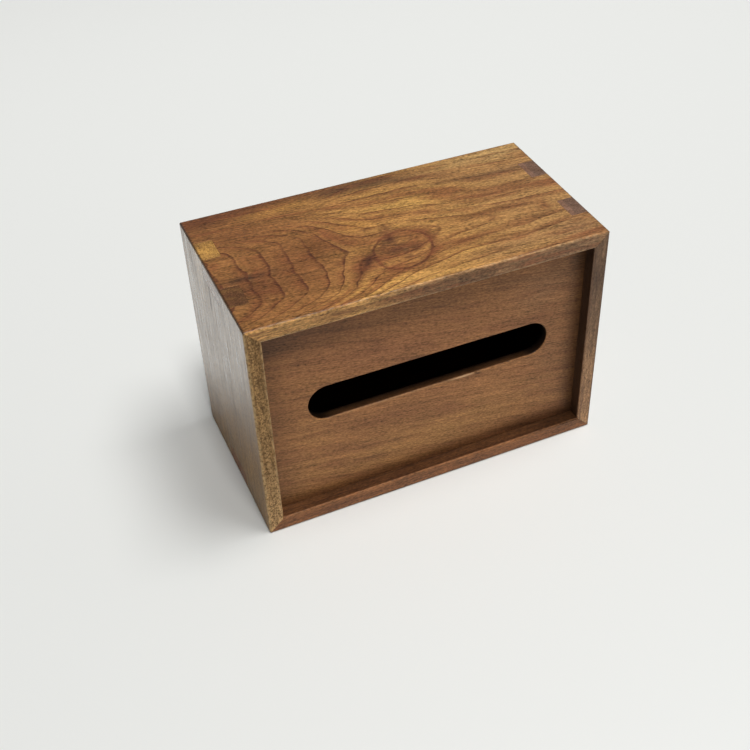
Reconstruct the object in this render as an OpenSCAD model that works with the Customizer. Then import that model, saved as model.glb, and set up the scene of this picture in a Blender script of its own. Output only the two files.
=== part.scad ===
// Wooden tissue box, standing on one long side with its slotted front towards -Y.
// Four boards meet at the corners in two square fingers between mitred shoulders. A slotted
// panel is sunk behind the front rim, and a base panel slides out of the back towards +X.
// Millimetres. The origin is under the middle of the box, on the surface that it stands on.

/* [Overall size] */
// Length of the box from side to side
box_length = 190; // [165:1:260]
// Depth of the box from its front rim to its back rim
box_depth = 100; // [90:1:150]
// Height of the box as it stands on its long side
box_height = 130; // [110:1:180]

/* [Boards] */
// Thickness of the four outer boards
board_t = 10; // [8.5:0.5:14]
// Radius of the eased outer edges
edge_r = 1.2; // [0.5:0.1:2]
// Width of the small chamfer on the inner edges of both rims
rim_chamfer = 0.6; // [0.2:0.1:1]

/* [Corner fingers] */
// Width of the mitred shoulder in front of the first finger
front_shoulder = 20.5; // [18:0.5:24]
// Width of the mitred shoulder behind the last finger
back_shoulder = 22.5; // [18:0.5:26]
// Width of each finger of the end boards
finger_w = 15.5; // [8:0.5:18]

/* [Slotted panel] */
// Depth of the panel's face behind the front rim
panel_recess = 7.5; // [4:0.5:9]
// Thickness of the panel
panel_t = 5.5; // [4:0.5:8]
// Width of the ledge that the panel is glued on
ledge_w = 2; // [1:0.5:4]
// Gap left round the panel's four edges
panel_gap = 0.15; // [0.05:0.05:0.3]

/* [Slot] */
// Length of the slot over its round ends
slot_length = 133; // [90:1:136]
// Width of the slot
slot_width = 20.4; // [14:0.2:30]
// Height of the slot's centre above the middle of the panel
slot_rise = 4; // [0:0.5:8]
// Distance of the slot's centre to the right of the middle of the panel
slot_shift = 0.5; // [0:0.5:4]
// Radius of the slot's eased edges
slot_edge_r = 0.8; // [0.3:0.1:1.5]

/* [Base panel] */
// Thickness of the sliding base panel
base_t = 5; // [4:0.5:8]
// Width of the back rim behind the panel's groove
base_inset = 5; // [3:0.5:8]
// Depth of the groove in the boards
groove_depth = 4; // [3:0.5:5]
// Gap between the panel and each side of its groove
slide_gap = 0.2; // [0.1:0.05:0.4]
// Gap between the panel's edges and the bottoms of the grooves
end_gap = 0.4; // [0.2:0.1:0.8]

/* [Thumb scoop] */
// Length of the scoop, across the way the panel slides
scoop_length = 30; // [24:1:50]
// Width of the scoop where it meets the panel's face
scoop_width = 12; // [9:0.5:16]
// Depth of the scoop
scoop_depth = 2.2; // [1:0.1:3]
// Distance from the panel's free end to the middle of the scoop
scoop_inset = 18; // [12:1:40]

/* [Hidden] */
$fn = 64;
// How far a cut reaches past the face that it opens
past = 1;
// Places along the depth, counted from the front rim
first_finger = front_shoulder;
tail_start = first_finger + finger_w;
last_finger = box_depth - back_shoulder - finger_w;
shoulder_start = box_depth - back_shoulder;
groove_w = base_t + 2 * slide_gap;
groove_end = box_depth - base_inset;
groove_start = groove_end - groove_w;
// The pocket that the slotted panel drops into, and the grooves that the base panel runs in
pocket_length = box_length - 2 * (board_t - ledge_w);
pocket_height = box_height - 2 * (board_t - ledge_w);
pocket_depth = panel_recess + panel_t;
inner_length = box_length - 2 * board_t;
inner_height = box_height - 2 * board_t;
slot_r = slot_width / 2;
slot_reach = slot_length / 2 - slot_r;
scoop_r = (scoop_width * scoop_width / 4 + scoop_depth * scoop_depth) / (2 * scoop_depth);
scoop_reach = (scoop_length - scoop_width) / 2;
// Each row gives where a slice of board starts and ends, and how its two ends are cut
long_slices = [
    [0, first_finger, mitre(), mitre()],
    [first_finger, tail_start, socket(), socket()],
    [tail_start, last_finger, through(), through()],
    [last_finger, shoulder_start, socket(), socket()],
    [shoulder_start, groove_start, mitre(), mitre()],
    [groove_start, box_depth, mitre(), through()]
];
end_slices = [
    [0, first_finger, mitre(), mitre()],
    [first_finger, tail_start, through(), through()],
    [tail_start, last_finger, socket(), socket()],
    [last_finger, shoulder_start, through(), through()],
    [shoulder_start, groove_start, mitre(), mitre()]
];

// How far a board's end is cut back, on its outer face and on its inner face
function mitre() = [0, board_t];
function through() = [0, 0];
function socket() = [board_t, board_t];
function back_slice() = [groove_start, box_depth, mitre(), mitre()];

// A rectangle with round corners, about its middle
module rounded_rectangle(w, h, r) {
    square([w - 2 * r, h], center = true);
    square([w, h - 2 * r], center = true);
    for (side = [-1, 1], end = [-1, 1])
        translate([side * (w / 2 - r), end * (h / 2 - r)])
            circle(r = r);
}

// The outside of the whole box, with every outer edge eased
module outline() {
    translate([0, 0, box_height / 2])
        intersection() {
            linear_extrude(box_height + 2 * past, center = true)
                rounded_rectangle(box_length, box_depth, edge_r);
            rotate([90, 0, 0])
                linear_extrude(box_depth + 2 * past, center = true)
                    rounded_rectangle(box_length, box_height, edge_r);
            rotate([90, 0, 90])
                linear_extrude(box_length + 2 * past, center = true)
                    rounded_rectangle(box_depth, box_height, edge_r);
        }
}

// One board lying along X with its outer face up, at z = 0
module board(length, slices) {
    for (s = slices)
        translate([0, s[1] - box_depth / 2, 0])
            rotate([90, 0, 0])
                linear_extrude(s[1] - s[0])
                    polygon([
                        [-length / 2 + s[2][0], 0],
                        [-length / 2 + s[2][1], -board_t],
                        [length / 2 - s[3][1], -board_t],
                        [length / 2 - s[3][0], 0]
                    ]);
}

// A mouth that widens by the rim chamfer towards the face that it opens, which is at z = 0
module chamfered_mouth(w, h) {
    translate([0, 0, -rim_chamfer])
        linear_extrude(2 * rim_chamfer, slices = 1, $fn = 4,
                scale = [(w + 4 * rim_chamfer) / w, (h + 4 * rim_chamfer) / h])
            square([w, h], center = true);
}

// What is cut out of the boards: the front pocket, the grooves and the chamfers of both rims
module board_cuts() {
    translate([0, -box_depth / 2, box_height / 2]) {
        rotate([-90, 0, 0])
            translate([0, 0, -past])
                linear_extrude(pocket_depth + past)
                    square([pocket_length, pocket_height], center = true);
        rotate([90, 0, 0])
            chamfered_mouth(pocket_length, pocket_height);
    }
    translate([0, box_depth / 2, box_height / 2])
        rotate([-90, 0, 0])
            chamfered_mouth(inner_length, inner_height);
    translate([-inner_length / 2 - groove_depth, groove_start - box_depth / 2,
            board_t - groove_depth])
        cube([box_length, groove_w, inner_height + 2 * groove_depth]);
}

// A board in its place, cut and eased with the rest of the box
module finished_board() {
    difference() {
        intersection() {
            children();
            outline();
        }
        board_cuts();
    }
}

module top_board() {
    color("peru")
        finished_board()
            translate([0, 0, box_height])
                board(box_length, long_slices);
}

module bottom_board() {
    color("sienna")
        finished_board()
            mirror([0, 0, 1])
                board(box_length, long_slices);
}

module left_board() {
    color("burlywood")
        finished_board()
            translate([-box_length / 2, 0, box_height / 2])
                rotate([0, -90, 0])
                    board(box_height, concat(end_slices, [back_slice()]));
}

// It stops at the base panel, which slides out behind it
module right_board() {
    color("rosybrown")
        finished_board()
            mirror([1, 0, 0])
                translate([-box_length / 2, 0, box_height / 2])
                    rotate([0, -90, 0])
                        board(box_height, end_slices);
}

// The outline of the slot, made wider all round by grow
module slot_shape(grow) {
    square([2 * slot_reach, 2 * (slot_r + grow)], center = true);
    for (end = [-1, 1])
        translate([end * slot_reach, 0])
            circle(r = slot_r + grow);
}

// What is left outside a round edge, beside a wall at x = 0 and under a face at y = 0
module edge_waste(r) {
    difference() {
        translate([-past, -r])
            square([r + past, r + past]);
        translate([r, -r])
            circle(r = r);
    }
}

// The easing of the slot's edge in a face at z = 0
module slot_easing() {
    for (side = [-1, 1]) {
        rotate([90, 0, 90 * side])
            linear_extrude(2 * slot_reach, center = true)
                translate([slot_r, 0])
                    edge_waste(slot_edge_r);
        translate([side * slot_reach, 0, 0])
            rotate([0, 0, -90 * side])
                rotate_extrude(angle = 180)
                    translate([slot_r, 0])
                        edge_waste(slot_edge_r);
    }
}

module slotted_panel() {
    color("saddlebrown")
        translate([0, panel_recess - box_depth / 2, box_height / 2])
            rotate([90, 0, 0])
                difference() {
                    translate([0, 0, -panel_t / 2])
                        cube([pocket_length - 2 * panel_gap, pocket_height - 2 * panel_gap, panel_t],
                            center = true);
                    translate([slot_shift, slot_rise, 0]) {
                        translate([0, 0, -panel_t - past])
                            linear_extrude(panel_t + 2 * past)
                                slot_shape(0);
                        slot_easing();
                        translate([0, 0, -panel_t])
                            mirror([0, 0, 1])
                                slot_easing();
                    }
                }
}

// The scoop for a thumb, sunk in a face at z = 0 and lying along Y
module thumb_scoop() {
    translate([0, 0, scoop_r - scoop_depth]) {
        rotate([90, 0, 0])
            cylinder(h = 2 * scoop_reach, r = scoop_r, center = true);
        for (end = [-1, 1])
            translate([0, end * scoop_reach, 0])
                sphere(r = scoop_r);
    }
}

module base_panel() {
    base_length = box_length - board_t + groove_depth - end_gap;
    base_height = inner_height + 2 * (groove_depth - end_gap);
    color("tan")
        translate([box_length / 2, groove_end - slide_gap - box_depth / 2, box_height / 2])
            rotate([-90, 0, 0])
                difference() {
                    translate([-base_length, -base_height / 2, -base_t])
                        cube([base_length, base_height, base_t]);
                    translate([-scoop_inset, 0, 0])
                        thumb_scoop();
                }
}

top_board();
bottom_board();
left_board();
right_board();
slotted_panel();
base_panel();
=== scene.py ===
"""Looks for the wooden tissue box: eased boards, procedural woods, floor, lamps and camera."""

import math

import bmesh
import bpy
from mathutils import Matrix, Vector


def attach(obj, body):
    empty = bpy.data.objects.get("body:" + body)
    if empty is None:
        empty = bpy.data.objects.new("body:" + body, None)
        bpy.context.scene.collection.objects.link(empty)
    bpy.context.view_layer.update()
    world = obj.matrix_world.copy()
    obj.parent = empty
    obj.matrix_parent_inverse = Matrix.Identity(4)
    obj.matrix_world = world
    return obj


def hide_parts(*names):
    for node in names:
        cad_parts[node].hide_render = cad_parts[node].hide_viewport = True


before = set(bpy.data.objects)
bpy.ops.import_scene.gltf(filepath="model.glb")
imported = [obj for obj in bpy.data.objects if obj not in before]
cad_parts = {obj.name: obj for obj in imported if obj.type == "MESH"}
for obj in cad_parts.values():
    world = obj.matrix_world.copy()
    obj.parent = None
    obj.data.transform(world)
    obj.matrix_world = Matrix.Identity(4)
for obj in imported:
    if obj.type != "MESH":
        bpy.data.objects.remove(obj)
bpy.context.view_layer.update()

# Metres
MM = 0.001
SEAM_BEVEL = 0.13 * MM
BUMP_HEIGHT = 0.05 * MM
FLOOR_HALF = 5.0

# Degrees: faces that meet at less are joined into one, and edges that turn by more are eased
SAME_FACE_ANGLE = 0.5
SHARP_ANGLE = 35

# Millimetres, in which the materials work
LENGTH, DEPTH, HEIGHT = 190.0, 100.0, 130.0
BOX_MIDDLE = (0.0, 0.0, HEIGHT / 2)
BOX_HALF = (LENGTH / 2, DEPTH / 2, HEIGHT / 2)
FRONT_FACE = -DEPTH / 2
PANEL_RECESS = 7.5
PANEL_FACE = FRONT_FACE + PANEL_RECESS
PANEL_THICKNESS = 5.5
SLOT_MIDDLE = 0.5
KNOT_MIDDLE = (-4, -20)
KNOT_TURN = 45
NICK_PLACE = (25.6, PANEL_FACE - 0.25, 58.35)
NICK_REACH = (1.3, 0.75, 0.75)

# Which of X, Y and Z run along, across and through a board
LYING = (0, 1, 2)
UPRIGHT = (2, 1, 0)
FACING = (0, 2, 1)

# Finish
MEAN_ROUGHNESS = 0.40
COAT_ROUGHNESS = 0.16
FLOOR_COLOUR = (232, 233, 230)


# Node formulas

def tone(red, green, blue):
    """A display colour, 0 to 255, as the linear colour that a shader takes."""
    def linear(level):
        level = level / 255
        return level / 12.92 if level <= 0.04045 else ((level + 0.055) / 1.055) ** 2.4
    return (linear(red), linear(green), linear(blue), 1.0)


def add_node(tree, kind, **settings):
    made = tree.nodes.new(kind)
    for key, value in settings.items():
        setattr(made, key, value)
    return made


def feed(socket, value):
    """Links a wire to a socket, or sets a plain value on it."""
    if isinstance(value, Wire):
        value.tree.links.new(value.socket, socket)
    else:
        socket.default_value = value


class Wire:
    """A number, place or colour in a node tree, so that a formula reads like arithmetic."""

    def __init__(self, tree, socket):
        self.tree = tree
        self.socket = socket

    def calc(self, operation, *others):
        """One step of arithmetic on this number, by the name that Blender gives it."""
        made = add_node(self.tree, "ShaderNodeMath", operation=operation)
        for socket, value in zip(made.inputs, (self, *others)):
            feed(socket, value)
        return Wire(self.tree, made.outputs[0])

    def __add__(self, other):
        return self.calc("ADD", other)

    def __sub__(self, other):
        return self.calc("SUBTRACT", other)

    def __mul__(self, other):
        return self.calc("MULTIPLY", other)

    def __rsub__(self, other):
        return self.calc("MULTIPLY_ADD", -1.0, other)

    __radd__ = __add__
    __rmul__ = __mul__

    def smooth(self, low, high, start=0.0, end=1.0):
        """Rises smoothly from start at low to end at high."""
        made = add_node(self.tree, "ShaderNodeMapRange", interpolation_type="SMOOTHSTEP")
        for socket, value in zip(made.inputs, (self, low, high, start, end)):
            feed(socket, value)
        return Wire(self.tree, made.outputs[0])

    def noise(self, size, seed=0.0, detail=2.0, roughness=0.5):
        """Smooth noise about zero, with features of that size in mm along each axis."""
        spread = self.mapped("POINT", (seed, seed * 0.7, seed * 1.3), 0.0,
                             tuple(1 / s for s in size))
        made = add_node(self.tree, "ShaderNodeTexNoise")
        feed(made.inputs["Vector"], spread)
        made.inputs["Scale"].default_value = 1.0
        made.inputs["Detail"].default_value = detail
        made.inputs["Roughness"].default_value = roughness
        return Wire(self.tree, made.outputs["Fac"]).calc("MULTIPLY_ADD", 2.0, -1.0)

    def mapped(self, kind, location, turn, scale):
        """This place moved, turned by degrees about the depth, and scaled."""
        made = add_node(self.tree, "ShaderNodeMapping", vector_type=kind)
        feed(made.inputs["Vector"], self)
        made.inputs["Location"].default_value = location
        made.inputs["Rotation"].default_value = (0.0, 0.0, math.radians(turn))
        made.inputs["Scale"].default_value = scale
        return Wire(self.tree, made.outputs[0])

    def spot(self, along, across, length, width, turn=0.0):
        """A soft oval spot, 1 at its middle, that runs through the whole thickness."""
        local = self.mapped("TEXTURE", (along, across, 0.0), turn, (length, width, 1e6))
        squared = add_node(self.tree, "ShaderNodeVectorMath", operation="DOT_PRODUCT")
        feed(squared.inputs[0], local)
        feed(squared.inputs[1], local)
        return (Wire(self.tree, squared.outputs["Value"]) * -1.0).calc("EXPONENT")

    def mix(self, other, factor, blend="MIX"):
        """This colour with another one laid over it."""
        made = add_node(self.tree, "ShaderNodeMix", data_type="RGBA", blend_type=blend)
        feed(made.inputs[0], factor)
        feed(made.inputs[6], self)
        feed(made.inputs[7], other)
        return Wire(self.tree, made.outputs[2])

    def scaled(self, factor):
        """This place or colour times a number."""
        made = add_node(self.tree, "ShaderNodeVectorMath", operation="SCALE")
        feed(made.inputs[0], self)
        feed(made.inputs["Scale"], factor)
        return Wire(self.tree, made.outputs[0])


def split(place):
    """The three numbers of a place."""
    made = add_node(place.tree, "ShaderNodeSeparateXYZ")
    feed(made.inputs[0], place)
    return [Wire(place.tree, made.outputs[i]) for i in range(3)]


def join(along, across, depth):
    """A place made of three numbers."""
    made = add_node(along.tree, "ShaderNodeCombineXYZ")
    for socket, value in zip(made.inputs, (along, across, depth)):
        feed(socket, value)
    return Wire(along.tree, made.outputs[0])


def plain_colour(tree, colour):
    made = add_node(tree, "ShaderNodeRGB")
    made.outputs[0].default_value = colour
    return Wire(tree, made.outputs[0])


# Growth lines

def arched_growth(grain):
    """Flat-sawn figure: arches on the left, a knot in the middle, long lines on the right."""
    x, y, depth = split(grain)
    x = x + grain.noise((26, 16, 16), seed=3.0) * 3.0
    rise = x * y.smooth(5, 45) * 0.10
    y = y + grain.noise((40, 12, 12), seed=8.0) * 2.4 - rise
    # How far a place lies from the middle of the figure, which runs along the board
    off = y + 10 + x.smooth(15, 70) * 4 + grain.spot(46, 8, 24, 11) * 5
    # On the left, arches whose legs bend away from that middle
    bend = (off.calc("ABSOLUTE") - 19).calc("MAXIMUM", 0.0)
    arches = bend * bend * (off.smooth(-2, 2) * 0.001 + 0.0075)
    # On the right, lines 7.6 mm apart
    lines = ((off * off + 16).calc("SQRT") - 4) * (1 / 7.6)
    to_right = x.smooth(-52, -2)
    rings = arches * (1 - to_right) + lines * to_right
    rings = rings + x.smooth(-124, -6) * 6.0 + x * 0.0118
    rings = rings + grain.noise((14, 6, 6), seed=5.0) * 0.10
    # The knot pushes the lines aside
    rings = rings - grain.spot(*KNOT_MIDDLE, 21, 17, KNOT_TURN) * 1.5
    rings = rings + grain.spot(-26, -22, 12, 6, 40) * 0.5
    rings = rings + grain.spot(64, -15, 17, 8, -6) * 0.8
    return rings + depth * 0.30


def straight_growth(spacing, slope=0.0, wave=1.0, seed=1.0):
    """Long lines that run with the grain, gently waved."""
    def growth(grain):
        along, across, depth = split(grain)
        waved = across + along * slope + grain.noise((70, 22, 22), seed=seed) * 6 * wave
        waved = waved + grain.noise((24, 6, 6), seed=seed + 4) * 1.4 * wave
        return (waved + depth * 0.45) * (1 / spacing)
    return growth


# Wood

def growth_marks(rings):
    """The thin dark line that ends each year's growth, and the broad band before it."""
    turn = rings.calc("FRACT")
    thin = turn.smooth(0.80, 0.93) * turn.smooth(0.95, 1.0, 1.0, 0.0)
    broad = turn.smooth(0.15, 0.93) * turn.smooth(0.93, 1.0, 1.0, 0.0)
    return thin, broad


def fibre_noises(grain, slope, seed):
    """Long streaks, fibres, fine grit, soft mottling and open pores."""
    along, across, depth = split(grain)
    fibres = join(along, across + along * slope, depth)
    streak = fibres.noise((60, 2.2, 2.2), seed=seed + 2, detail=3.0)
    fibre = fibres.noise((8, 0.9, 0.9), seed=seed + 4, detail=2.0)
    fine = fibres.noise((1.8, 0.7, 0.7), seed=seed + 6, detail=2.0, roughness=0.6)
    mottle = fibres.noise((22, 8, 8), seed=seed + 11, detail=3.0)
    pores = fibres.noise((3.2, 0.6, 0.6), seed=seed + 15, detail=1.0).smooth(0.12, 0.5)
    return streak, fibre, fine, mottle, pores


def oiled_surface(tree, colour, roughness, height, coat, gloss):
    """The shader: a satin face, bumped along its fibres, with a thin coat where it is polished."""
    shader = add_node(tree, "ShaderNodeBsdfPrincipled")
    feed(shader.inputs["Base Color"], colour)
    feed(shader.inputs["Roughness"], roughness)
    shader.inputs["Specular IOR Level"].default_value = gloss
    feed(shader.inputs["Coat Weight"], coat)
    shader.inputs["Coat Roughness"].default_value = COAT_ROUGHNESS
    bump = add_node(tree, "ShaderNodeBump")
    bump.inputs["Strength"].default_value = 0.5
    bump.inputs["Distance"].default_value = BUMP_HEIGHT
    feed(bump.inputs["Height"], height)
    tree.links.new(bump.outputs[0], shader.inputs["Normal"])
    output = add_node(tree, "ShaderNodeOutputMaterial")
    tree.links.new(shader.outputs[0], output.inputs["Surface"])


def wood(name, axes, growth, light, dark, band_tone, zones=None, edge_zones=None,
         last_shades=None, line_fade=None, end_tone=None, line_depth=0.7, line_hold=0.15,
         band_depth=0.8, contrast=1.0, speckle=0.0, flecks=0.35, fibre_slope=0.0,
         inner_light=0.4, gloss=0.25, seed=0.0):
    """An oiled wood, built up from its plain colour to its grain, its wear, painted highlights and
    painted shade, and its gloss.

    axes is LYING, UPRIGHT or FACING, and growth gives a number that rises by 1 at each line.
    The four tones are for the wood, its growth lines, its broad bands and its end grain.
    zones colours the board under the grain, edge_zones its edges, and last_shades all of it at the
    end: stains on the top board, painted shade and highlight on the others. line_hold is what is
    left of a line where it fades, and inner_light is how light the inner faces are painted beside
    the outer ones, a painted shade on the recesses and the inside.
    """
    material = bpy.data.materials.new(name)
    material.use_nodes = True
    tree = material.node_tree
    tree.nodes.clear()
    source = add_node(tree, "ShaderNodeTexCoord")
    place = Wire(tree, source.outputs["Object"]).scaled(1 / MM)
    xyz = split(place)
    grain = join(*[xyz[a] for a in axes])
    normal = split(Wire(tree, source.outputs["Normal"]))
    end_grain = normal[axes[0]].calc("ABSOLUTE").smooth(0.62, 0.92)
    edge_grain = normal[axes[1]].calc("ABSOLUTE").smooth(0.55, 0.85)

    along, across, depth = split(grain)
    edge_rings = (depth + grain.noise((60, 9, 9), seed=seed + 33) * 3) * 0.37 + along * 0.004
    rings = growth(grain) * (1 - edge_grain) + edge_rings * edge_grain
    thin, broad = growth_marks(rings)
    drift = grain.noise((20, 6, 6), seed=seed + 21, detail=3.0).smooth(-0.35, 0.35)
    line = thin * (drift * (1 - line_hold) + line_hold)
    line = line * (1 - edge_grain * 0.6) * (1 - end_grain * 0.6)
    if line_fade:
        line = line * line_fade(grain)
    bands = join(rings * 0.8, along * 0.012, across * 0.012).noise((1, 1, 1), seed=seed + 9)
    streak, fibre, fine, mottle, pores = fibre_noises(grain, fibre_slope, seed)

    colour = plain_colour(tree, light)
    if end_tone:
        colour = colour.mix(end_tone, end_grain)
    if zones:
        colour = zones(colour, grain)
    if edge_zones:
        colour = colour.mix(edge_zones(colour, grain), edge_grain)
    tint = (bands + mottle * 0.5).smooth(-0.1, 0.5).calc("MAXIMUM", broad * drift * 0.85)
    colour = colour.mix(band_tone, tint * band_depth)
    colour = colour.mix(dark, line * line_depth)
    shade = streak * 0.30 + fibre * 0.44 + fine * 0.85 + mottle * 0.28
    colour = colour.scaled(shade * contrast + 1.0)
    colour = colour.mix(tone(58, 34, 20), pores * flecks)
    if speckle:
        grit = grain.noise((0.9, 0.8, 0.8), seed=seed + 27, detail=1.0).smooth(-0.2, 0.4)
        colour = colour.mix(tone(82, 58, 36), grit * edge_grain * speckle)
    gaps = face_gaps(xyz)
    colour = arris_colour(colour, xyz, gaps, grain)
    # Painted shade: the inner faces, in the recesses and inside the box, are made as light as
    # inner_light
    inner = nearest(gaps).smooth(0.5, 1.3)
    colour = colour.scaled(inner * (inner_light - 1) + 1.0)
    if last_shades:
        colour = last_shades(colour, grain)

    roughness = fibre * 0.10 + mottle * 0.08 + pores * 0.15 + end_grain * 0.10 + MEAN_ROUGHNESS
    height = fibre * 0.5 + fine * 0.5 - pores * 0.9 - line * 0.3
    # The outer faces of the two end boards have a sheen, which grows towards the top
    ends = normal[0].calc("ABSOLUTE").smooth(0.6, 0.95) * (1 - inner)
    polished = (xyz[2] + xyz[1] * 0.5).smooth(12, 82)
    worn = streak * 0.6 + mottle * 0.4 + fibre * 0.5 - pores * 0.4 - line * 0.4 + 0.98
    oiled_surface(tree, colour, roughness, height, ends * polished * worn, gloss)
    return material


def face_gaps(xyz):
    """How far in, in mm, a place lies from the box's outer faces along X, Y and Z."""
    gaps = []
    for value, middle, half in zip(xyz, BOX_MIDDLE, BOX_HALF):
        gaps.append((value - middle).calc("ABSOLUTE") * -1.0 + half)
    return gaps


def nearest(gaps):
    """The least of the three gaps: 0 on the outer faces and lips, more on inner walls."""
    return gaps[0].calc("MINIMUM", gaps[1]).calc("MINIMUM", gaps[2])


def arris_colour(colour, xyz, gaps, grain):
    """Arrises pale in patches at the left and front, worn and with a painted highlight, and dark
    with painted shade round the top's other edges.
    """
    x, y, z = xyz
    near = [gap.smooth(0.2, 1.5, 1.0, 0.0) for gap in gaps]
    patches = grain.noise((2.4, 2.4, 2.4), seed=31.0, detail=3.0)
    # Pale patches on the left upright arrises: wear and a painted highlight
    upright = gaps[0].smooth(0.2, 1.8, 1.0, 0.0) * gaps[1].smooth(0.2, 1.6, 1.0, 0.0)
    on_left = x.smooth(-10, 0, 1.0, 0.0)
    rubbed_and_highlit = upright * on_left * patches.smooth(-0.35, 0.25) * 0.75
    colour = colour.mix(tone(216, 182, 132), rubbed_and_highlit)
    # Painted highlight and wear: pale in patches along the lips' inner rim round the recess
    front = (y - FRONT_FACE).smooth(0.2, 1.0, 1.0, 0.0)
    rim = gaps[0].calc("MINIMUM", gaps[2]).smooth(6.3, 7.8) * front
    rim = rim * z.smooth(8, 14, 0.15, 1.0) * x.smooth(84, 87, 1.0, 0.0)
    colour = colour.mix(tone(212, 178, 132), rim * patches.smooth(-0.4, 0.3) * 0.5)
    # Painted highlight: a pale line in patches along the top's front arris
    above = near[1] * near[2] * y.smooth(-10, 10, 1.0, 0.0)
    colour = colour.mix(tone(214, 184, 140), above * patches.smooth(-0.2, 0.4) * 0.3)
    # Painted shade: dark along the top's end and back arrises, and on the right upright arrises
    ends = near[0] * near[2] * (on_left * 0.25 + 0.6)
    back = near[1] * near[2] * y.smooth(-10, 10) * 0.75
    arris_painted_shade = ends.calc("MAXIMUM", back) * z.smooth(60, 70)
    arris_painted_shade = arris_painted_shade.calc("MAXIMUM", upright * (1 - on_left) * 0.4)
    return colour.mix(tone(44, 28, 18), arris_painted_shade)


def laid_over(colour, grain, spots):
    """Lays soft oval spots of colour over the wood, one after the other.

    A spot has its middle, length and width in mm and its turn in degrees, then its colour
    and how strongly that covers the wood at the middle.
    """
    for (along, across, length, width, turn), over, strength in spots:
        colour = colour.mix(over, grain.spot(along, across, length, width, turn) * strength)
    return colour


def top_zones(colour, grain):
    """Where the top board turns redder, darker or more golden, and its knot."""
    x, y, _ = split(grain)
    colour = colour.mix(tone(120, 74, 44), x.smooth(-60, 10, 1.0, 0.0) * 0.62)
    colour = colour.mix(tone(156, 122, 84), x.smooth(0, 80) * 0.4)
    red, golden = tone(108, 60, 38), tone(192, 142, 74)
    colour = laid_over(colour, grain, (
        ((-84, 45, 34, 10, 6), tone(92, 54, 34), 0.8),
        ((-50, 49, 50, 5, 0), tone(92, 54, 36), 0.7),
        ((-46, 40, 18, 4, 4), golden, 0.65),
        ((-72, 24, 14, 8, 0), tone(110, 66, 42), 0.35),
        ((-14, 44, 18, 5, 0), tone(84, 54, 38), 0.8),
        ((14, 43, 24, 5, -12), tone(86, 56, 40), 0.7),
        ((45, 31, 30, 4.5, -22), tone(112, 74, 48), 0.5),
        ((76, 43, 34, 6, 2), tone(186, 150, 96), 0.75),
        ((82, 25, 22, 3.6, 0), tone(96, 66, 48), 0.6),
        ((52, 9, 28, 3, -6), tone(128, 84, 54), 0.55),
        ((-84, -20, 20, 10, 0), tone(84, 52, 36), 0.6),
        ((-54, -8, 18, 24, 0), red, 0.45),
        ((-38, 4, 6, 12, 0), red, 0.35),
        ((-16, 10, 13, 6, 0), tone(186, 132, 68), 0.5),
        ((18, 20, 26, 9, -8), tone(206, 158, 86), 0.8),
        ((-26, -42, 20, 7, 12), tone(214, 160, 86), 0.9),
        ((-8, -46, 22, 4, 4), tone(206, 158, 88), 0.7),
        ((20, -33.5, 14, 2.6, -2), tone(206, 158, 86), 0.6),
        ((44, -40, 22, 6, 4), tone(150, 114, 76), 0.5),
        ((46, -9, 22, 2.4, 5), tone(120, 72, 44), 0.55),
        ((66, -9, 12, 2.2, 0), tone(116, 68, 44), 0.6),
        ((77, -15, 3, 5, -20), tone(116, 68, 44), 0.5),
        ((84, -40, 18, 9, 0), tone(120, 86, 64), 0.5),
        ((-79, -10.8, 12, 2.8, 0), tone(58, 40, 32), 0.85),
    ))
    ragged = grain.noise((9, 7, 7), seed=17.0, detail=3.0) * 0.10
    knot = grain.spot(*KNOT_MIDDLE, 17.5, 14.5, KNOT_TURN) + ragged
    to_front_right = (x - y).smooth(6, 22)
    colour = colour.mix(tone(168, 112, 66), knot.smooth(0.45, 0.75) * 0.35)
    halo = knot.smooth(0.10, 0.36) * knot.smooth(0.38, 0.56, 1.0, 0.0)
    outline = knot.smooth(0.345, 0.385) * knot.smooth(0.41, 0.46, 1.0, 0.0)
    colour = colour.mix(tone(98, 50, 34), halo * (to_front_right * 0.55 + 0.06))
    colour = colour.mix(tone(82, 42, 30), outline * 0.75)
    return laid_over(colour, grain, (
        ((-6.5, -9, 3.6, 6, 0), tone(78, 44, 34), 0.85),
        ((-4.5, 0, 3, 5, 0), tone(112, 66, 46), 0.55),
        ((-4, -19, 8, 3.4, 8), tone(68, 38, 32), 0.75),
        ((-3.5, -27.5, 3.6, 1.2, -12), tone(88, 50, 36), 0.75),
        ((-13, -14.5, 8, 2.4, 42), tone(84, 46, 34), 0.5),
        ((-26, -26, 9, 2.4, 44), tone(72, 46, 36), 0.75),
        ((-22.5, -21.5, 5.4, 2.2, 45), tone(34, 28, 26), 0.95),
        ((-3.0, -21, 1.4, 2.2, 0), tone(124, 104, 72), 0.6),
    ))


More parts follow.
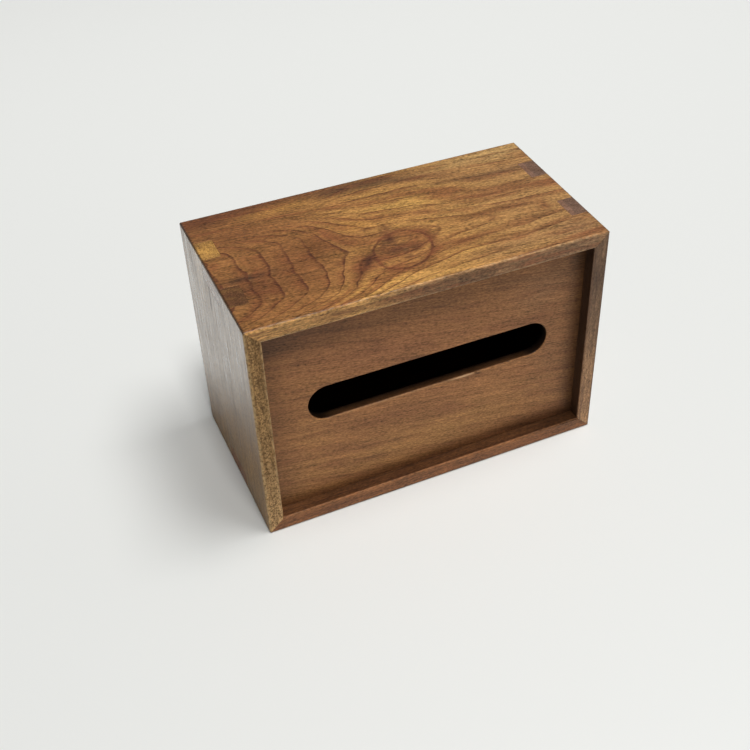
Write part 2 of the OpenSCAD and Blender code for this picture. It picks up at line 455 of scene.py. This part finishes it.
def top_last_shades(colour, grain):
    """Stains on the top: in and beside the knot, in streaks on its right, and at its back."""
    # What a stain lets through of the red, green and blue under it
    red, brown = (0.38, 0.28, 0.26, 1.0), (0.36, 0.36, 0.48, 1.0)
    for place, stain, strength in (
        ((-9, -19.5, 4.5, 2.4, 6), brown, 0.65),
        ((2.5, -20.5, 3.6, 2.2, 6), brown, 0.6),
        ((-22.5, -21.5, 6, 1.9, 45), brown, 0.6),
        ((-28, -28, 6, 1.8, 44), red, 0.4),
        ((-6, -9, 3, 5, 0), brown, 0.25),
        ((44, -7, 15, 1.7, 2), red, 0.65),
        ((69, -10, 12, 1.2, -4), red, 0.4),
        ((78, -15, 1.5, 5, 0), red, 0.45),
        ((74, -22.5, 6, 1.2, -14), red, 0.3),
        ((48, -31, 17, 1.0, -9), red, 0.6),
        ((22, -26.5, 12, 0.9, 10), red, 0.4),
        ((72, 8, 5, 2.4, 0), red, 0.3),
        ((44, 2, 26, 0.8, 3), red, 0.4),
        ((46, 27, 30, 2.0, -5), brown, 0.3),
        ((-43, 1, 5, 9, 0), red, 0.45),
        ((-76, -24, 7, 8, 0), red, 0.2),
        ((2, 42.5, 17, 4, -6), brown, 0.5),
    ):
        colour = colour.mix(stain, grain.spot(*place) * strength, "MULTIPLY")
    return colour


def top_line_fade(grain):
    """Growth lines of the top board are strong on the left and fainter on the right."""
    x, _, _ = split(grain)
    return x.smooth(-15, 25, 1.0, 0.55)


def top_lip_zones(colour, grain):
    """The top board's front lip goes from tan on the left to grey-brown on the right."""
    x, _, _ = split(grain)
    colour = colour.mix(tone(204, 155, 92), 0.75)
    colour = colour.mix(tone(128, 97, 68), x.smooth(-45, 0) * 0.85)
    colour = colour.mix(tone(152, 118, 84), x.smooth(20, 70) * 0.6)
    return colour.scaled(grain.noise((44, 3, 3), seed=71.0, detail=3.0) * 0.9 + 1.0)


def left_lip_zones(colour, grain):
    """The left board's front lip is paler low down."""
    z, _, _ = split(grain)
    return colour.mix(tone(200, 160, 110), z.smooth(0, 90, 0.95, 0.3))


def right_lip_zones(colour, grain):
    """The right board's front lip is paler low down, with one dark patch."""
    z, _, _ = split(grain)
    colour = colour.mix(tone(206, 156, 110), z.smooth(5, 95, 0.95, 0.0))
    colour = colour.mix(tone(76, 56, 44), grain.spot(106, -48, 9, 9, 0) * 0.5)
    return colour.scaled(grain.noise((14, 6, 6), seed=73.0, detail=3.0) * 0.6 + 1.0)


def panel_zones(colour, grain):
    """The slotted panel: dark at its top left, golden low down, with painted shade along its foot.
    """
    return laid_over(colour, grain, (
        ((-72, 118, 40, 12, 0), tone(96, 64, 48), 0.65),
        ((-30, 92, 40, 10, -8), tone(148, 96, 64), 0.6),
        ((-66, 42, 12, 30, -8), tone(176, 126, 74), 0.55),
        ((5, 26, 70, 14, 4), tone(170, 124, 72), 0.65),
        ((64, 100, 18, 14, 0), tone(146, 108, 76), 0.5),
        ((72, 60, 14, 30, 0), tone(116, 84, 58), 0.35),
        # Painted shade under the bottom lip, along the panel's foot and deepest at the right
        ((0, 10, 90, 4.5, 0), tone(98, 58, 32), 0.5),
        ((66, 11, 46, 6, 0), tone(64, 36, 22), 0.65),
    ))


def panel_last_shades(colour, grain):
    """Painted shade inside the slot and beside the recess's walls, and a worn slot edge, pale with a
    painted highlight.
    """
    along, across, depth = split(grain)
    sunk = depth - PANEL_FACE
    rear = sunk.smooth(PANEL_THICKNESS - 0.3, PANEL_THICKNESS - 0.05)
    # Painted shade: darker down the slot's walls and on the rear face, and beside the recess's
    # walls, most by the right
    wall = sunk.smooth(0.1, 1.0, 1.0, 0.17) * sunk.smooth(0.9, 5.7, 1.0, 0.08)
    wall = wall * (1 - rear) + rear * 0.5
    ends = (along - SLOT_MIDDLE).calc("ABSOLUTE").smooth(52, 60)
    ends = ends * sunk.smooth(0.1, 0.6) * (1 - rear)
    corners = along.smooth(72, 87.5, 1.0, 0.3) * along.smooth(-87, -68, 0.74, 1.0)
    corners = corners * across.smooth(8, 18, 0.78, 1.04)
    colour = colour.scaled(wall * (1 - ends * 0.8) * corners)
    # Pale patches on the slot's lower edge, wear and a painted highlight, and a dark mark by the
    # nick
    rubbed_and_highlit = laid_over(colour, grain, (
        ((18.5, 58.3, 6, 0.45, 0), tone(214, 176, 134), 0.8),
        ((-20, 58.4, 40, 0.35, 0), tone(190, 150, 108), 0.35),
        ((26.8, 57.5, 1.6, 0.8, 0), tone(48, 32, 22), 0.7),
    ))
    return colour.mix(rubbed_and_highlit, sunk.smooth(0.2, 0.55, 1.0, 0.0))


def right_last_shades(colour, grain):
    """Browns the right board's painted inner shade, and lightens it low down and along the slotted
    panel.
    """
    z, y, x = split(grain)
    inside = x.smooth(87.4, 88.2, 1.0, 0.0)
    lighter = z.smooth(15, 90, 0.5, 0.08)
    lighter = lighter + y.smooth(PANEL_FACE - 1.3, PANEL_FACE - 0.2) * 0.5
    return colour.mix(colour.mix(tone(70, 38, 18), 0.25), inside).scaled(lighter * inside + 1.0)


def bottom_last_shades(colour, grain):
    """Painted shade on the bottom board's inner face, growing towards the right."""
    along, _, depth = split(grain)
    return colour.scaled(1 - depth.smooth(6.8, 7.6) * along.smooth(40, 82, 0.0, 0.45))


def left_zones(colour, grain):
    """A pale streak of sapwood at the back finger of the left board."""
    return colour.mix(tone(196, 148, 80), grain.spot(132, 19.5, 30, 9, 0) * 0.95)


WOODS = {
    "top_board": wood(
        "golden_arched_wood", LYING, arched_growth,
        light=tone(180, 132, 74), dark=tone(88, 50, 32), band_tone=tone(122, 72, 44),
        zones=top_zones, edge_zones=top_lip_zones, last_shades=top_last_shades,
        line_fade=top_line_fade, line_depth=0.9, line_hold=0.55, contrast=1.45,
        flecks=0.28, fibre_slope=0.12, seed=1.0),
    "bottom_board": wood(
        "red_brown_wood", LYING, straight_growth(5.5, 0.02, 0.8, 7.0),
        light=tone(142, 92, 54), dark=tone(76, 42, 28), band_tone=tone(112, 70, 42),
        last_shades=bottom_last_shades, contrast=1.3, inner_light=0.36, seed=40.0),
    "left_board": wood(
        "tan_flecked_wood", UPRIGHT, straight_growth(6.5, 0.03, 1.0, 13.0),
        light=tone(152, 116, 70), dark=tone(84, 58, 38), band_tone=tone(126, 92, 54),
        end_tone=tone(98, 66, 44), zones=left_zones, edge_zones=left_lip_zones,
        speckle=0.75, flecks=0.5, gloss=0.1, seed=60.0),
    "right_board": wood(
        "grey_brown_wood", UPRIGHT, straight_growth(6.0, -0.02, 1.2, 19.0),
        light=tone(128, 98, 72), dark=tone(70, 48, 36), band_tone=tone(98, 70, 52),
        end_tone=tone(118, 90, 74), edge_zones=right_lip_zones, last_shades=right_last_shades,
        speckle=0.4, flecks=0.5, inner_light=0.18, seed=80.0),
    "slotted_panel": wood(
        "mid_brown_wood", FACING, straight_growth(7.5, 0.18, 1.2, 23.0),
        light=tone(158, 108, 66), dark=tone(92, 56, 38), band_tone=tone(134, 88, 56),
        zones=panel_zones, last_shades=panel_last_shades, line_depth=0.25, band_depth=0.75,
        contrast=1.2, flecks=0.12, fibre_slope=0.16, inner_light=1.0, gloss=0.2, seed=100.0),
    "base_panel": wood(
        "plain_brown_wood", FACING, straight_growth(7.0, -0.03, 1.0, 29.0),
        light=tone(150, 104, 62), dark=tone(94, 60, 38), band_tone=tone(122, 82, 50),
        line_depth=0.45, contrast=0.8, inner_light=0.85, seed=120.0),
}


# Pieces

def nick(piece, place, reach):
    """Cuts a small round hollow out of a piece. Place and reach are in mm."""
    hollow = bpy.data.meshes.new("hollow")
    ball = bmesh.new()
    bmesh.ops.create_icosphere(ball, subdivisions=3, radius=MM)
    bmesh.ops.scale(ball, vec=reach, verts=ball.verts)
    bmesh.ops.translate(ball, vec=[c * MM for c in place], verts=ball.verts)
    ball.to_mesh(hollow)
    ball.free()
    cutter = bpy.data.objects.new("hollow", hollow)
    bpy.context.scene.collection.objects.link(cutter)
    cut = piece.modifiers.new("cut", "BOOLEAN")
    cut.operation = "DIFFERENCE"
    cut.solver = "EXACT"
    cut.object = cutter
    graph = bpy.context.evaluated_depsgraph_get()
    carved = bpy.data.meshes.new_from_object(piece.evaluated_get(graph))
    piece.modifiers.remove(cut)
    piece.data = carved
    bpy.data.objects.remove(cutter)


def finished_piece(node, body):
    """A board as the hand sees it: the CAD node's shape with its arrises and seams eased."""
    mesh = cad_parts[node].data.copy()
    mesh.materials.clear()
    mesh.materials.append(WOODS[node])
    shape = bmesh.new()
    shape.from_mesh(mesh)
    bmesh.ops.remove_doubles(shape, verts=shape.verts, dist=0.001 * MM)
    bmesh.ops.dissolve_limit(shape, angle_limit=math.radians(SAME_FACE_ANGLE),
                             verts=shape.verts, edges=shape.edges)
    sharp = [edge for edge in shape.edges
             if edge.is_manifold and edge.calc_face_angle() > math.radians(SHARP_ANGLE)]
    bmesh.ops.bevel(shape, geom=sharp, offset=SEAM_BEVEL, offset_type="OFFSET", segments=2,
                    profile=0.5, affect="EDGES", clamp_overlap=False)
    for face in shape.faces:
        face.smooth = True
    shape.to_mesh(mesh)
    shape.free()
    piece = bpy.data.objects.new(node + "_finished", mesh)
    bpy.context.scene.collection.objects.link(piece)
    if node == "slotted_panel":
        nick(piece, NICK_PLACE, NICK_REACH)
    normals = piece.modifiers.new("even_normals", "WEIGHTED_NORMAL")
    normals.weight = 80
    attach(piece, body)
    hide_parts(node)
    return piece


for node in ("top_board", "bottom_board", "left_board", "right_board", "slotted_panel"):
    finished_piece(node, "box")
finished_piece("base_panel", "base")


# Floor, light and camera

def surface(name, colour, roughness):
    material = bpy.data.materials.new(name)
    material.use_nodes = True
    shader = material.node_tree.nodes["Principled BSDF"]
    shader.inputs["Base Color"].default_value = colour
    shader.inputs["Roughness"].default_value = roughness
    return material


def seen_directly(tree):
    """1 where a camera, glossy or transmission ray looks, and 0 for the light on things."""
    path = add_node(tree, "ShaderNodeLightPath")
    seen = Wire(tree, path.outputs["Is Camera Ray"]) + Wire(tree, path.outputs["Is Glossy Ray"])
    return (seen + Wire(tree, path.outputs["Is Transmission Ray"])).calc("MINIMUM", 1.0)


def whiter_far_off(material):
    """Keeps the floor as white further from the lamps as it is beside the box."""
    tree = material.node_tree
    shader = tree.nodes["Principled BSDF"]
    source = add_node(tree, "ShaderNodeTexCoord")
    place = Wire(tree, source.outputs["Object"]).scaled(1 / MM)
    x, y, _ = split(place)
    beside = place.spot(-60, -30, 110, 80, 0)
    distance = (x * x + y * y).calc("SQRT")
    path = add_node(tree, "ShaderNodeLightPath")
    far = distance.smooth(900, 3500, 0.0, 0.7) * Wire(tree, path.outputs["Is Camera Ray"])
    shader.inputs["Emission Color"].default_value = tone(*FLOOR_COLOUR)
    lift = y.smooth(-250, 700, 0.0, 0.22) + 0.02
    feed(shader.inputs["Emission Strength"], lift * (1 - beside) * seen_directly(tree) + far)
    return material


floor_mesh = bpy.data.meshes.new("floor")
floor_mesh.from_pydata(
    [(-FLOOR_HALF, -FLOOR_HALF, 0), (FLOOR_HALF, -FLOOR_HALF, 0),
     (FLOOR_HALF, FLOOR_HALF, 0), (-FLOOR_HALF, FLOOR_HALF, 0)], [], [(0, 1, 2, 3)])
floor_mesh.materials.append(whiter_far_off(surface("pale_floor", tone(*FLOOR_COLOUR), 0.5)))
floor = bpy.data.objects.new("floor", floor_mesh)
bpy.context.scene.collection.objects.link(floor)


def soft_box(name, place, size, power):
    """A wide soft lamp that points at the box."""
    lamp = bpy.data.lights.new(name, "AREA")
    lamp.shape = "RECTANGLE"
    lamp.size, lamp.size_y = size
    lamp.energy = power
    made = bpy.data.objects.new(name, lamp)
    made.location = place
    made.rotation_euler = (-Vector(place)).to_track_quat("-Z", "Y").to_euler()
    bpy.context.scene.collection.objects.link(made)


soft_box("key", place=(0.70, -0.34, 2.5), size=(1.2, 0.8), power=38)
soft_box("front", place=(-0.12, -1.00, 2.5), size=(0.45, 0.6), power=34)

world = bpy.data.worlds.new("studio")
world.use_nodes = True
sky = world.node_tree
sky.nodes.clear()
seen = seen_directly(sky)
background = add_node(sky, "ShaderNodeBackground")
background.inputs["Color"].default_value = tone(236, 237, 236)
direction = add_node(sky, "ShaderNodeTexCoord")
height = split(Wire(sky, direction.outputs["Generated"]))[2]
backdrop = height.smooth(0.16, 0.46, 0.95, 0.10)
feed(background.inputs["Strength"], seen * backdrop + (1 - seen) * 0.04)
sky_output = add_node(sky, "ShaderNodeOutputWorld")
sky.links.new(background.outputs[0], sky_output.inputs["Surface"])
bpy.context.scene.world = world

# The camera, placed so that the box's corners fall where the photo has them
CAMERA_PLACE = (-0.19028, -0.44598, 0.44163)
SENSOR_WIDTH = 36.0
FOCAL_PIXELS = 1149.30
FRAME_PIXELS = 750
SHIFT_X = -0.09682
SHIFT_Y = 0.01484
AZIMUTH = math.radians(-26.324)
ELEVATION = math.radians(40.657)
ROLL = math.radians(0.406)
camera_data = bpy.data.cameras.new("camera")
camera_data.sensor_width = SENSOR_WIDTH
camera_data.lens = FOCAL_PIXELS * SENSOR_WIDTH / FRAME_PIXELS
camera_data.shift_x = SHIFT_X
camera_data.shift_y = SHIFT_Y
camera_data.clip_start = 0.01
back = Vector((math.sin(AZIMUTH) * math.cos(ELEVATION),
               -math.cos(AZIMUTH) * math.cos(ELEVATION), math.sin(ELEVATION)))
level = Vector((math.cos(AZIMUTH), math.sin(AZIMUTH), 0.0))
upright = back.cross(level)
side = level * math.cos(ROLL) + upright * math.sin(ROLL)
above = upright * math.cos(ROLL) - level * math.sin(ROLL)
camera = bpy.data.objects.new("camera", camera_data)
turned = Matrix((side, above, back)).transposed().to_4x4()
camera.matrix_world = Matrix.Translation(CAMERA_PLACE) @ turned
bpy.context.scene.collection.objects.link(camera)
bpy.context.scene.camera = camera
bpy.context.scene.view_settings.view_transform = "Standard"
